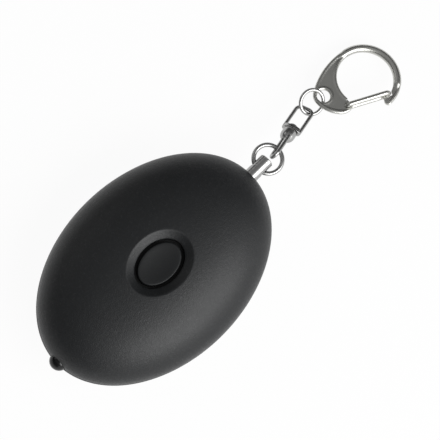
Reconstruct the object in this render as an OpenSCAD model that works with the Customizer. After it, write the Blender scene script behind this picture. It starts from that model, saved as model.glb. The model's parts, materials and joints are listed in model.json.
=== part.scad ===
// Personal safety alarm: an oval two-shell housing with a push button, a lamp in one end and a
// pull pin in the other. A ring, a swivel, a second ring and a snap hook hang on the pin.
// It lies on its back: z = 0 is the flat of the rear shell, +X points from the lamp to the pin.

/* [Housing] */
// Length of the oval housing
body_l = 65; // [62:0.5:72]
// Width of the oval housing
body_w = 45; // [43:0.5:50]
// Height of the rear shell, from the rest face to the seam
rear_h = 10; // [9.6:0.1:11]
// Height of the front shell above the seam
front_h = 12; // [11.6:0.1:13]
// Wall of both shells
wall = 1.8; // [1.5:0.1:2]
// Squareness of the front profile, 2 is an ellipse
front_square = 2.3; // [2.1:0.1:2.6]
// Squareness of the rear profile
rear_square = 2.8; // [2.6:0.1:3.2]
// Height that the flat rest face cuts off the rear profile
rest_cut = 0.35; // [0.25:0.05:0.6]
// Edge break of each shell at the seam
seam_break = 0.25; // [0.1:0.05:0.35]
// Height of the lip that locates the shells
lip_h = 1.2; // [0.8:0.1:1.6]
// Thickness of the lip
lip_t = 0.8; // [0.6:0.1:0.9]

/* [Button] */
// Length of the button face
button_l = 12.1; // [11:0.1:13]
// Width of the button face
button_w = 8.3; // [7.6:0.1:9]
// Gap round the button
button_gap = 0.7; // [0.3:0.05:0.9]
// Width of the sloping ring round the button
bezel_w = 2.05; // [1.5:0.05:2.4]
// Drop of the sloping ring
bezel_drop = 1.25; // [0.9:0.05:1.5]
// Depth of the hollow in the button face
button_dish = 0.25; // [0.1:0.05:0.4]
// Travel of the button
button_travel = 0.6; // [0.3:0.05:0.65]

/* [Pull pin] */
// Diameter of the metal pin
pin_d = 3.6; // [3:0.1:4]
// Length of the pin outside the housing
pin_out = 5.3; // [5:0.1:7]
// Distance of the cross hole from the end of the pin
pin_hole_in = 3; // [2.4:0.1:3.6]
// Diameter of the cross hole
pin_hole_d = 1.9; // [1.85:0.05:2.1]
// Diameter of the plastic tip
tip_d = 2.2; // [1.8:0.1:2.4]
// Length of the plastic tip
tip_l = 4; // [3.4:0.1:4.4]
// Length of the barrel inside the housing
pin_in = 7.3; // [6.5:0.1:7.6]

/* [Jump rings] */
// Outside diameter of the ring in the pin
ring_1_d = 8; // [7.6:0.1:9]
// Wire of the ring in the pin
ring_1_wire = 1; // [0.8:0.05:1.1]
// Outside diameter of the ring in the hook
ring_2_d = 7; // [6.8:0.05:7.4]
// Wire of the ring in the hook
ring_2_wire = 0.9; // [0.75:0.05:0.95]

/* [Swivel] */
// Width of the eye
eye_w = 3.6; // [3.4:0.1:4.2]
// Thickness of the eye
eye_t = 1; // [0.8:0.05:1.1]
// Diameter of the collar above the eye
collar_d = 3.6; // [3.2:0.1:4]
// Width of the yoke's base plate
plate_w = 4.9; // [4.8:0.1:5.6]
// Thickness of the base plate
plate_t = 1.25; // [1:0.05:1.35]
// Depth of the base plate
plate_d = 2.9; // [2.7:0.1:3.4]
// Width over the arms of the yoke
yoke_w = 5.1; // [5:0.05:5.5]
// Wire of the yoke's arms
yoke_wire = 0.9; // [0.8:0.05:0.95]
// Length from the first ring's wire to the bow of the yoke
swivel_l = 14.05; // [13.9:0.05:16]

/* [Snap hook] */
// Diameter of the hook's opening
hook_in_d = 13.8; // [13:0.1:15]
// Diameter of the round bar
bar_d = 2; // [1.8:0.05:2.2]
// Distance from the eye hole to the middle of the opening
hook_reach = 11.5; // [11.2:0.1:13]
// Diameter of the eye hole
hook_eye_d = 3.1; // [3:0.1:3.4]
// Thickness of the round bead along the plate's edge
bead_d = 1.1; // [1:0.05:1.2]
// Thickness of the plate between its beads
web_t = 0.8; // [0.7:0.05:0.85]
// Diameter of the gate's spring wire
gate_wire = 1.2; // [1:0.05:1.3]
// Length of the gate, from its pivot to its bow
gate_l = 11.4; // [11:0.1:12]

/* [Cells] */
// Diameter of a button cell
cell_d = 11.6; // [10:0.1:11.8]
// Height of a button cell
cell_h = 5.4; // [4.2:0.1:5.4]
// Number of cells
cells = 3; // [3:1:3]

/* [Sounder] */
// Diameter of the brass disc
disc_d = 27; // [24:0.5:27]
// Thickness of the brass disc
disc_t = 0.3; // [0.2:0.05:0.4]
// Diameter of the ceramic on the disc
ceramic_d = 20; // [16:0.5:22]
// Height of the disc's seat above the inside of the rest face
disc_seat = 1.5; // [1.2:0.1:1.7]

/* [Lamp] */
// Diameter of the lamp
lamp_d = 4.7; // [4.2:0.1:5]
// Length of the lamp
lamp_l = 8.6; // [7.5:0.1:9]
// Length of the lamp outside the housing
lamp_out = 1.4; // [1:0.1:1.8]

/* [Hidden] */

// Small overlap that keeps cuts clean
eps = 0.05;
oval_sides = 56;
profile_steps = 8;
profile_end = 82;

a_out = body_l / 2;
b_out = body_w / 2;
a_in = a_out - wall;
b_in = b_out - wall;
seam = rear_h;
top = rear_h + front_h;
rear_full = rear_h + rest_cut;

// Button, its opening and the pad that stiffens the front round them
open_a = button_l / 2 + button_gap;
open_b = button_w / 2 + button_gap;
bezel_top = top - 0.3;
bezel_low = bezel_top - bezel_drop;
button_top = bezel_low - 0.1;
pad_grow = 1.6;
pad_under = bezel_low - 2.05;
flange_grow = 0.8;
flange_t = 0.8;
flange_top = pad_under - 0.2;
flange_under = flange_top - flange_t;
bezel_edge = 0.8;
bezel_slope = atan(bezel_drop / bezel_w);

// Board and what stands on it
board_t = 1;
board_a = a_in - 5.2;
board_b = b_in - 4.2;
board_under = seam + 2.2;
board_top = board_under + board_t;
plunger_d = 3.4;
switch_w = 6;
switch_top = flange_under - button_travel - 0.2;
coil_d = 7.8;
coil_room = 5.4;
coil_h = front_h - wall - coil_room;
coil_x = -15;

// Screws and the bosses they join
screw_x = 20;
screw_y = b_out - 11.7;
screw_d = 2;
screw_head_d = 3.8;
screw_head_h = 1.2;
screw_seat = 3.6;
screw_l = 9.8;
boss_d = 5.2;
screw_gap = 0.15;
pilot_gap = 0.03;

// Sounder seat and grille
disc_z = wall + disc_seat;
disc_gap = 0.2;
seat_wall = 0.9;
seat_top = disc_z + 1.5;
ceramic_t = 0.2;
slots = 6;
slot_w = 1.3;
slot_pitch = 2.8;
grille_a = 9.5;
grille_b = 6.4;

// Cell holder
cell_gap = 0.15;
cell_web = 0.5;
cell_pitch = cell_d + 2 * cell_gap + cell_web;
holder_wall = 1;
holder_floor = 0.8;
holder_l = (cells - 1) * cell_pitch + cell_d + 2 * cell_gap + 2 * holder_wall;
holder_w = cell_d + 2 * cell_gap + 2 * holder_wall;
holder_z = seat_top;
strip_t = 0.25;
strip_w = 4.4;
tail_w = 2.4;
cell_z = holder_z + holder_floor + strip_t;
cell_top = cell_z + cell_h;

// Lamp
lamp_x = -a_out - lamp_out;
lamp_base = lamp_x + lamp_l;
lamp_rim_d = lamp_d + 0.9;
lamp_rim_t = 1;
lamp_gap = 0.1;
lamp_lead_d = 0.5;
lamp_lead_y = 1.27;
lead_room = 1.9;
cradle_t = 1.4;
cradle_w = 8.4;

// Pull pin and its socket
pin_end = a_out + pin_out;
pin_start = a_out - pin_in;
tip_start = pin_start - tip_l;
spigot_d = 1.4;
spigot_l = 2.6;
pin_gap = 0.15;
hole_x = pin_end - pin_hole_in;
pin_chamfer = 0.25;
socket_x = tip_start - 0.5;
holder_x = (lamp_base + lead_room + socket_x) / 2;
socket_end = a_in - 1.2;
socket_w = 8;
socket_under = seam - 2.4;
contact_t = 0.25;
contact_h = 2;
contact_gap = 0.05;
contact_l = 3.9;

// Chain: how each link lies, as roll, pitch (down) and yaw in degrees
ring_1_lie = [0, 4, 0];
eye_roll = 13;
yoke_roll = -20.6;
swivel_pitch = 20;
swivel_yaw = 10.4;
ring_2_lie = [26.3, -8.7, 15];
ring_2_way = [0, -22.7, 4];
hook_lie = [-11.1, 5.7, -21];
hook_way = [0, 9, -15.8];

ring_1_r = (ring_1_d - ring_1_wire) / 2;
ring_2_r = (ring_2_d - ring_2_wire) / 2;
hole_play = pow(pin_d / 2, 2) / ring_1_r / 3.2;
hole_p = [hole_x, 0, seam];
ring_1_p = hole_p + (ring_1_r - hole_play) * heading(ring_1_lie);
link_p = ring_1_p + ring_1_r * heading(ring_1_lie);
yoke_p = link_p + swivel_l * heading([0, swivel_pitch, swivel_yaw]);
ring_2_sit = ring_2_r - (ring_2_wire + yoke_wire) / 2 - 0.08;
ring_2_p = yoke_p + ring_2_sit * heading(ring_2_way);
hook_play = 0.35;
hook_p = ring_2_p + (ring_2_r + hook_play) * heading(hook_way);

// Swivel, along its axis from the first ring's wire
eye_reach = 3;
eye_bar = (eye_w - eye_t) / 2;
eye_bend = eye_w / 2 - eye_reach;
collar_start = 3.3;
collar_end = 6.2;
plate_start = collar_end + 0.12;
plate_end = plate_start + plate_t;
shank_d = 1.5;
shank_gap = 0.08;
rivet_d = 2.4;
rivet_start = plate_end + 0.08;
rivet_h = 0.5;
yoke_bend = 1.4;
yoke_arm = (yoke_w - yoke_wire) / 2;

// Snap hook, in its own plane with the eye hole at the origin
hook_in = hook_in_d / 2;
hook_bar = hook_in + bar_d / 2;
hook_out = hook_in + bar_d;
hook_c = [hook_reach, 0.2];
eye_out = hook_eye_d / 2 + bead_d;
back_r = 20;
belly_r = 7.8;
lobe_c = [3.3, -3.1];
lobe_out = 3.05;
back_c = tangent_centre([0, 0], eye_out, hook_c, hook_out - 0.1, back_r, -1);
belly_c = tangent_centre([0, 0], eye_out, lobe_c, lobe_out, belly_r, 1);
back_start = bearing(hook_c - back_c);
back_end = bearing(-back_c);
belly_start = bearing(-belly_c);
belly_end = bearing(lobe_c - belly_c);
lobe_end = 326;
inner_end = 206;
bar_end = -34;
nose_end = -71;
nose_t = 0.8;

// Gate: a bent wire that turns in the lobe
gate_p = lobe_c + [1, -1.45];
gate_angle = -5.2;
gate_open = 24;
gate_gap = 0.12;
gate_z = web_t / 2 + gate_wire / 2 + gate_gap;
gate_bend = 0.75;
gate_hole_gap = 0.06;

charcoal = "#26282a";
chrome = "#c9ccd0";
nickel = "#aeb0ac";
green = "#1d5b3a";
black = "#161616";
copper = "#b0653a";
brass = "#b9964c";
white = "#e6e6e0";

// Direction of a link's length for a roll, pitch and yaw
function heading(lie) = [cos(lie[1]) * cos(lie[2]), cos(lie[1]) * sin(lie[2]), -sin(lie[1])];
function about_x(v, a) = [v[0], v[1] * cos(a) - v[2] * sin(a), v[1] * sin(a) + v[2] * cos(a)];
function about_y(v, a) = [v[0] * cos(a) + v[2] * sin(a), v[1], v[2] * cos(a) - v[0] * sin(a)];
function about_z(v, a) = [v[0] * cos(a) - v[1] * sin(a), v[0] * sin(a) + v[1] * cos(a), v[2]];
function turned(v, lie) = about_z(about_y(about_x(v, lie[0]), lie[1]), lie[2]);
function bearing(v) = (atan2(v[1], v[0]) + 360) % 360;
function arc(c, r, from, to, n) = [for (i = [0:n]) c + r * [cos(from + (to - from) * i / n),
                                                            sin(from + (to - from) * i / n)]];
// Centre of a large arc that touches two circles from outside them
function tangent_centre(c1, r1, c2, r2, big, side) =
    let (d = norm(c2 - c1), u = (c2 - c1) / d, d1 = big - r1, d2 = big - r2,
         along = (d * d + d1 * d1 - d2 * d2) / (2 * d), off = sqrt(d1 * d1 - along * along))
    c1 + along * u + side * off * [-u[1], u[0]];
// Stack of convex courses, each between two ovals given as half length, half width and height
module courses(rings, lap = 0) {
    for (i = [0:len(rings) - 2]) let (low = rings[i], high = rings[i + 1])
        translate([0, 0, low[2]])
            hull() linear_extrude(high[2] - low[2] + lap, scale = [high[0] / low[0], high[1] / low[1]])
                scale([1, low[1] / low[0]]) circle(r = low[0], $fn = oval_sides);
}

// Oval dome on z = 0 with a superellipse profile, its lower edge broken
module dome(a, b, h, n, edge) {
    start = pow(1 - pow(edge / h, n), 1 / n);
    first = asin(pow(edge / h, n / 2));
    hull() courses(concat([[a - edge, b - edge, 0]],
        [for (i = [0:profile_steps])
            let (t = first + (profile_end - first) * i / profile_steps,
                 f = i == 0 ? start : pow(cos(t), 2 / n), z = h * pow(sin(t), 2 / n))
            [a * f, b * f, z]]));
}

// Oval dome that reaches 1 mm below z = 0, to cut with
module dome_core(a, b, h, n) {
    hull() courses(concat([[a, b, -1], [a, b, 0]],
        [for (i = [1:profile_steps])
            let (t = profile_end * i / profile_steps, f = pow(cos(t), 2 / n))
            [a * f, b * f, h * pow(sin(t), 2 / n)]]));
}

module oval(a, b, h) {
    scale([1, b / a, 1]) cylinder(r = a, h = h, $fn = 96);
}

// Tube bent round part of a circle, in the XY plane
module bent_wire(r, d, from, to) {
    rotate_extrude(start = from, angle = to - from, $fn = 96) translate([r, 0]) circle(d = d, $fn = 32);
}

// Round bead along part of a circle in the hook's plane
module bead(c, r, from, to, d) {
    translate([c[0], c[1], 0]) bent_wire(r, d, from, to);
}

// Cone that carries on from the end of an arc in the hook's plane
module taper(c, r, at, way, d1, d2, h) {
    translate([c[0], c[1], 0]) rotate(at) translate([r, 0, 0]) rotate([-90 * way, 0, 0])
        cylinder(d1 = d1, d2 = d2, h = h, $fn = 40);
}

module at_screws() {
    for (sx = [-1, 1], sy = [-1, 1]) translate([sx * screw_x, sy * screw_y, 0]) children();
}

// Cut for the sloping ring round the button, with a softened outer edge
module bezel_cut() {
    tangent = bezel_edge * tan((bezel_slope + 6) / 2);
    start = [bezel_w, bezel_drop] - tangent * [cos(bezel_slope), sin(bezel_slope)];
    centre = start + bezel_edge * [sin(bezel_slope), -cos(bezel_slope)];
    curve = [for (i = [0:3]) let (t = bezel_slope + (8 - bezel_slope) * i / 3)
        centre + bezel_edge * [-sin(t), cos(t)]];
    last = curve[3] + 0.9 * [cos(8), sin(8)];
    line = concat([[-0.3, -0.6], [-0.3, -0.05], [0.02, 0.02]], curve, [last, [last[0], 2]]);
    courses([for (p = line) [open_a + p[0], open_b + p[0], bezel_low + p[1]]], lap = 0.002);
}

module end_bores() {
    translate([a_in - 1.5, 0, seam]) rotate([0, 90, 0]) cylinder(d = pin_d + 2 * pin_gap, h = 6, $fn = 64);
    translate([lamp_x, 0, seam]) rotate([0, 90, 0])
        cylinder(d = lamp_d + 2 * lamp_gap, h = lamp_l - lamp_rim_t - 0.1, $fn = 64);
}

module lamp_cradle(up) {
    translate([lamp_base - lamp_rim_t - 0.1 - cradle_t, -cradle_w / 2, up ? seam : wall - 1])
        cube([cradle_t, cradle_w, up ? front_h : seam - wall + 1]);
}

module front_shell() {
    color(charcoal)
    difference() {
        translate([0, 0, seam]) dome(a_out, b_out, front_h, front_square, seam_break);
        difference() {
            translate([0, 0, seam]) dome_core(a_in, b_in, front_h - wall, front_square);
            translate([0, 0, pad_under])
                oval(open_a + bezel_w + pad_grow, open_b + bezel_w + pad_grow, front_h);
            translate([0, 0, seam]) at_screws() cylinder(d = boss_d, h = front_h, $fn = 48);
            for (sx = [-1, 1]) translate([sx * (board_a - 3), 0, board_top]) cylinder(d = 3, h = front_h, $fn = 32);
            lamp_cradle(true);
        }
        bezel_cut();
        translate([0, 0, pad_under - 1]) oval(open_a, open_b, front_h);
        translate([0, 0, seam - 1]) difference() {
            oval(a_in + lip_t + 0.1, b_in + lip_t + 0.1, lip_h + 1.1);
            translate([0, 0, -1]) oval(a_in - 0.25, b_in - 0.25, lip_h + 3);
        }
        translate([0, 0, seam - 1]) at_screws() cylinder(d = screw_d + 2 * pilot_gap, h = 5.4, $fn = 32);
        end_bores();
    }
}

module rear_shell() {
    color(charcoal)
    difference() {
        union() {
            difference() {
                translate([0, 0, seam]) mirror([0, 0, 1])
                    dome(a_out, b_out, rear_full, rear_square, seam_break);
                translate([-body_l, -body_w, -body_w]) cube([2 * body_l, 2 * body_w, body_w]);
                difference() {
                    translate([0, 0, seam]) mirror([0, 0, 1])
                        dome_core(a_in, b_in, rear_full - wall, rear_square);
                    translate([-body_l, -body_w, wall - body_w]) cube([2 * body_l, 2 * body_w, body_w]);
                    disc_ring();
                    at_screws() cylinder(d = boss_d, h = seam, $fn = 48);
                    lamp_cradle(false);
                    translate([socket_x + 2.5, -3, 0]) cube([5, 6, socket_under]);
                }
            }
            translate([0, 0, seam - 0.5]) difference() {
                oval(a_in + lip_t, b_in + lip_t, lip_h + 0.5);
                translate([0, 0, -1]) oval(a_in + 0.15, b_in + 0.15, lip_h + 4);
            }
        }
        grille();
        translate([-disc_d / 2 - 2, -3.2, disc_z + disc_t + 0.1]) cube([3.6, 6.4, 4]);
        at_screws() {
            translate([0, 0, -1]) cylinder(d = screw_head_d + 2 * screw_gap, h = screw_seat + 1, $fn = 48);
            translate([0, 0, -1]) cylinder(d = screw_d + 2 * screw_gap, h = seam + 2, $fn = 32);
        }
        end_bores();
    }
}

// Ring that holds the sounder's disc on a ledge
module disc_ring() {
    difference() {
        cylinder(d = disc_d + 2 * disc_gap + 2 * seat_wall, h = seat_top, $fn = 64);
        translate([0, 0, disc_z]) cylinder(d = disc_d + 2 * disc_gap, h = 4, $fn = 64);
        translate([0, 0, -1]) cylinder(d = disc_d - 2.4, h = 9, $fn = 64);
    }
}

module grille() {
    for (i = [0:slots - 1]) {
        x = (i - (slots - 1) / 2) * slot_pitch;
        half = grille_b * sqrt(1 - pow(x / grille_a, 2)) - slot_w / 2;
        translate([x, 0, -1]) linear_extrude(wall + 2) {
            square([slot_w, 2 * half], center = true);
            for (s = [-1, 1]) translate([0, s * half]) circle(d = slot_w - 0.02, $fn = 24);
        }
    }
}

module shell_screws() {
    color(nickel)
    at_screws() difference() {
        union() {
            translate([0, 0, screw_seat - screw_head_h]) cylinder(d = screw_head_d, h = screw_head_h, $fn = 48);
            translate([0, 0, screw_seat]) cylinder(d = screw_d, h = screw_l - 1, $fn = 32);
            translate([0, 0, screw_seat + screw_l - 1]) cylinder(d1 = screw_d, d2 = 0.8, h = 1, $fn = 32);
        }
        for (a = [0, 90]) rotate([0, 0, a]) translate([-1.1, -0.25, screw_seat - screw_head_h - 1]) cube([2.2, 0.5, 1.6]);
    }
}

module button_cap() {
    r = button_l / 2;
    round = 0.35;
    color(charcoal)
    union() {
        scale([1, button_w / button_l, 1])
            rotate_extrude($fn = 96)
                polygon(concat([[0, flange_under + eps], [r, flange_under + eps]],
                    arc([r - round, button_top - round], round, 0, 90, 6),
                    [for (i = [1:8]) let (f = 1 - i / 8) [(r - 2 * round) * f, button_top - button_dish * (1 - f * f)]]));
        translate([0, 0, flange_under]) oval(open_a + flange_grow, open_b + flange_grow, flange_t);
    }
}

module switch_plunger() {
    color(black)
    union() {
        translate([0, 0, switch_top - 1.2]) cylinder(d = plunger_d, h = flange_under - switch_top + 1.2 - 0.2, $fn = 48);
        translate([0, 0, flange_under - 0.2]) cylinder(d1 = plunger_d, d2 = plunger_d - 0.4, h = 0.2, $fn = 48);
    }
}

module switch_body() {
    color(black)
    difference() {
        union() {
            translate([-switch_w / 2, -switch_w / 2, board_top]) cube([switch_w, switch_w, switch_top - board_top]);
            for (sx = [-1, 1], sy = [-1, 1])
                translate([sx * (switch_w / 2 + 0.5) - 0.6, sy * 2.25 - 0.35, board_top]) cube([1.2, 0.7, 0.4]);
        }
        translate([0, 0, switch_top - 1.2 - button_travel - 0.1]) cylinder(d = plunger_d + 0.2, h = 3, $fn = 48);
        for (sx = [-1, 1], sy = [-1, 1])
            translate([sx * 2.3, sy * 2.3, switch_top - 0.3]) cylinder(d = 0.7, h = 1, $fn = 24);
    }
}

module circuit_board() {
    color(green)
    difference() {
        translate([0, 0, board_under]) oval(board_a, board_b, board_t);
        translate([0, 0, board_under - 1]) at_screws() cylinder(d = boss_d + 0.8, h = board_t + 2, $fn = 48);
        translate([lamp_base + 0.4 - board_a, -lamp_rim_d / 2 - 0.3, board_under - 1])
            cube([board_a, lamp_rim_d + 0.6, board_t + 2]);
    }
}

// Small-outline chip with eight legs
module alarm_chip() {
    color(black)
    translate([11.5, 6.5, board_top]) {
        translate([-2.5, -2, 0.15]) cube([5, 4, 1.4]);
        for (i = [-1.5:1:1.5], s = [-1, 1]) {
            translate([i * 1.27 - 0.2, s * 2.5 - 0.55, 0]) cube([0.4, 1.1, 0.25]);
            translate([i * 1.27 - 0.2, s * 2.15 - 0.15, 0]) cube([0.4, 0.3, 0.7]);
        }
    }
}

module drive_transistor() {
    color(black)
    translate([12, -6.5, board_top]) {
        translate([-2.25, -1.25, 0]) cube([4.5, 2.5, 1.5]);
        for (i = [-1:1]) translate([i * 1.5 - 0.25, -2.05, 0]) cube([0.5, 0.9, 0.4]);
        translate([-0.9, 1.2, 0]) cube([1.8, 0.7, 0.4]);
    }
}

module storage_capacitor() {
    color(nickel)
    translate([14.5, 0, board_top]) rotate_extrude($fn = 48)
        polygon([[0, 0], [2.5, 0], [2.5, 0.7], [2.3, 0.9], [2.5, 1.1], [2.5, 4.4], [2.2, 4.7], [0, 4.7]]);
}

module chip_resistors() {
    color(black)
    for (p = [[-7, 6], [-3.5, 8], [3, 8], [-7, -6.5], [-3.5, -8.5], [3, -8.5]])
        translate([p[0] - 1, p[1] - 0.6, board_top]) {
            translate([0.35, 0, 0]) cube([1.3, 1.2, 0.5]);
            cube([0.35, 1.2, 0.55]);
            translate([1.65, 0, 0]) cube([0.35, 1.2, 0.55]);
        }
}

module coil_core() {
    color(black)
    translate([coil_x, 0, board_top]) {
        cylinder(d = coil_d, h = 0.9, $fn = 64);
        cylinder(d = coil_d * 0.45, h = coil_h, $fn = 48);
        translate([0, 0, coil_h - 0.9]) cylinder(d = coil_d, h = 0.9, $fn = 64);
    }
}

module coil_winding() {
    turns = 7;
    wire = (coil_h - 1.8 - 0.1) / turns;
    color(copper)
    translate([coil_x, 0, board_top + 0.95]) difference() {
        rotate_extrude($fn = 64)
            polygon(concat([[coil_d * 0.225 + 0.05, 0]],
                [for (i = [0:turns - 1], s = [0, 1]) [coil_d / 2 - 0.55 + s * wire * 0.35, (i + 0.1 + 0.4 * s) * wire]],
                [[coil_d / 2 - 0.55, turns * wire], [coil_d * 0.225 + 0.05, turns * wire]]));
    }
}

module piezo_disc() {
    color(brass) translate([0, 0, disc_z]) cylinder(d = disc_d, h = disc_t, $fn = 96);
}

module piezo_ceramic() {
    color(white) translate([0, 0, disc_z + disc_t]) cylinder(d = ceramic_d, h = ceramic_t, $fn = 96);
}

// Wire that runs along -X from a start point, bends up and ends under the board
module riser(x, y, z, turn_x, d, bend) {
    translate([turn_x + bend, y, z]) rotate([0, 90, 0]) cylinder(d = d, h = x - turn_x - bend, $fn = 24);
    translate([turn_x + bend, y, z + bend]) rotate([90, 0, 0]) bent_wire(bend, d, 180, 270);
    translate([turn_x, y, z + bend]) cylinder(d = d, h = board_under - z - bend, $fn = 24);
}

module buzzer_leads() {
    d = 0.7;
    turn_x = holder_x - holder_l / 2 - 1.2;
    pads = [[-disc_d / 2 + 2, 2.2, disc_z + disc_t], [-ceramic_d / 2 + 2, -2.2, disc_z + disc_t + ceramic_t]];
    color("firebrick")
    for (p = pads) {
        translate(p) cylinder(d1 = 1.5, d2 = 0.9, h = 0.55, $fn = 24);
        riser(p[0], p[1], disc_z + disc_t + ceramic_t + d / 2 + 0.02, turn_x, d, 1.2);
    }
}

module at_cells() {
    for (i = [0:cells - 1]) translate([(i - (cells - 1) / 2) * cell_pitch, 0, 0]) children();
}

module cell_holder() {
    color(black)
    translate([holder_x, 0, 0])
    difference() {
        union() {
            translate([-holder_l / 2, -holder_w / 2, holder_z]) cube([holder_l, holder_w, cell_top - holder_z - 0.1]);
            for (sx = [-1, 1], sy = [-1, 1])
                translate([sx * (holder_l / 2 - 0.9) - 0.9, sy * (holder_w / 2 - 0.9) - 0.9, holder_z])
                    cube([1.8, 1.8, board_under - holder_z]);
        }
        translate([0, 0, holder_z + holder_floor]) at_cells() cylinder(d = cell_d + 2 * cell_gap, h = 8, $fn = 64);
        translate([-cell_pitch * (cells - 1) / 2, -strip_w / 2 - 0.2, holder_z + holder_floor])
            cube([cell_pitch, strip_w + 0.4, strip_t + 0.1]);
        translate([cell_pitch * (cells - 1) / 2, -tail_w / 2 - 0.2, holder_z + holder_floor])
            cube([holder_l, tail_w + 0.4, strip_t + 0.1]);
        translate([-holder_l / 2 - 1, -tail_w / 2 - 0.2, cell_top - 0.3]) cube([8, tail_w + 0.4, 3]);
    }
}

// Button cell: a can with a rounded base and a smaller cap on top
module button_cells() {
    color(nickel)
    translate([holder_x, 0, cell_z]) at_cells() rotate_extrude($fn = 64)
        polygon(concat([[0, 0]], arc([cell_d / 2 - 0.4, 0.4], 0.4, 270, 360, 3),
            [[cell_d / 2, cell_h - 0.9], [cell_d / 2 - 0.5, cell_h - 0.6], [cell_d / 2 - 0.9, cell_h - 0.55],
             [cell_d / 2 - 1.3, cell_h], [0, cell_h]]));
}

module cell_links() {
    color(nickel) translate([holder_x, 0, 0]) {
        translate([-cell_pitch - 2.5, -strip_w / 2, holder_z + holder_floor]) cube([cell_pitch + 5, strip_w, strip_t]);
        translate([-2.5, -strip_w / 2, cell_top]) cube([cell_pitch + 5, strip_w, strip_t]);
    }
}

module cell_terminals() {
    tail_x = holder_l / 2 + 0.1;
    color(nickel) translate([holder_x, 0, 0]) {
        translate([cell_pitch - 2.5, -tail_w / 2, holder_z + holder_floor])
            cube([tail_x + strip_t - cell_pitch + 2.5, tail_w, strip_t]);
        translate([tail_x, -tail_w / 2, holder_z + holder_floor])
            cube([strip_t, tail_w, board_under - holder_z - holder_floor]);
        translate([-tail_x - strip_t, -tail_w / 2, cell_top]) cube([tail_x + strip_t - cell_pitch + 2.5, tail_w, strip_t]);
        translate([-tail_x - strip_t, -tail_w / 2, cell_top]) cube([strip_t, tail_w, board_under - cell_top]);
    }
}

module led_lens() {
    r = lamp_d / 2;
    color(black)
    translate([lamp_x, 0, seam]) rotate([0, 90, 0]) rotate_extrude($fn = 64)
        polygon(concat([[0, 0]], arc([0, r], r, 270, 360, 14),
            [[r, lamp_l - lamp_rim_t], [lamp_rim_d / 2, lamp_l - lamp_rim_t], [lamp_rim_d / 2, lamp_l], [0, lamp_l]]));
}

module led_leads() {
    color(nickel)
    for (s = [-1, 1]) mirror([1, 0, 0])
        riser(-lamp_base, s * lamp_lead_y, seam, -lamp_base - 1.5, lamp_lead_d, 0.8);
}

module trigger_socket() {
    color(white)
    difference() {
        translate([socket_x, -socket_w / 2, socket_under])
            cube([socket_end - socket_x, socket_w, board_under - socket_under]);
        translate([pin_start - 0.2, 0, seam]) rotate([0, 90, 0]) cylinder(d = pin_d + 2 * pin_gap, h = 12, $fn = 64);
        translate([socket_x - 1, -2, seam - 1.6]) cube([pin_start - socket_x + 0.9, 4, 6]);
        for (sy = [-1, 1]) translate([socket_x + 2.5, sy * (socket_w / 2) - 0.8, socket_under - 1])
            cube([socket_end - socket_x - 4.5, 1.6, 8]);
    }
}

module trigger_contacts() {
    color(brass)
    for (s = [-1, 1]) {
        y = s * (tip_d / 2 + contact_gap + contact_t / 2) - contact_t / 2;
        translate([socket_x + 0.3, y, seam - contact_h / 2]) cube([contact_l, contact_t, contact_h]);
        translate([socket_x + 0.3, y, seam - contact_h / 2]) cube([1.4, contact_t, board_under - seam + contact_h / 2]);
    }
}

module pin_barrel() {
    color(chrome)
    difference() {
        translate([pin_start, 0, seam]) rotate([0, 90, 0]) union() {
            cylinder(d = pin_d, h = pin_end - pin_start - pin_chamfer, $fn = 64);
            translate([0, 0, pin_end - pin_start - pin_chamfer])
                cylinder(d1 = pin_d, d2 = pin_d - 2 * pin_chamfer, h = pin_chamfer, $fn = 64);
        }
        translate([pin_start - 1, 0, seam]) rotate([0, 90, 0]) cylinder(d = spigot_d, h = spigot_l + 1.1, $fn = 32);
        translate(hole_p) rotate([90, 0, 0]) cylinder(d = pin_hole_d, h = 2 * pin_d, center = true, $fn = 48);
    }
}

module pin_tip() {
    color(white)
    translate([tip_start, 0, seam]) rotate([0, 90, 0]) rotate_extrude($fn = 48)
        polygon(concat([[0, 0]], arc([tip_d / 2 - 0.6, 0.6], 0.6, 270, 360, 5),
            [[tip_d / 2, tip_l], [spigot_d / 2, tip_l], [spigot_d / 2, tip_l + spigot_l], [0, tip_l + spigot_l]]));
}

module lying(p, lie) {
    translate(p) rotate(lie) children();
}

module pin_ring() {
    color(chrome) lying(ring_1_p, ring_1_lie)
        rotate_extrude($fn = 96) translate([ring_1_r, 0]) circle(d = ring_1_wire, $fn = 32);
}

module swivel_eye() {
    color(chrome) lying(link_p, [90 + eye_roll, swivel_pitch, swivel_yaw]) {
        translate([eye_bend, 0, 0]) bent_wire(eye_bar, eye_t, 90, 270);
        for (s = [-1, 1]) translate([eye_bend, s * eye_bar, 0]) rotate([0, 90, 0])
            cylinder(d = eye_t, h = collar_start + 0.9 - eye_bend, $fn = 32);
        rotate([0, 90, 0]) rotate_extrude($fn = 64)
            polygon(concat([[0, collar_start]],
                [for (i = [0:6]) let (t = 90 * i / 6)
                    [collar_d / 2 * (0.45 + 0.55 * sin(t)), collar_start + 1.6 * (1 - cos(t))]],
                arc([collar_d / 2 - 0.3, collar_end - 0.3], 0.3, 0, 90, 4),
                [[shank_d / 2, collar_end], [shank_d / 2, rivet_start], [rivet_d / 2, rivet_start]],
                [for (i = [1:5]) let (t = 90 * i / 5)
                    [rivet_d / 2 * cos(t), rivet_start + rivet_h * sin(t)]]));
    }
}

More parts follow.
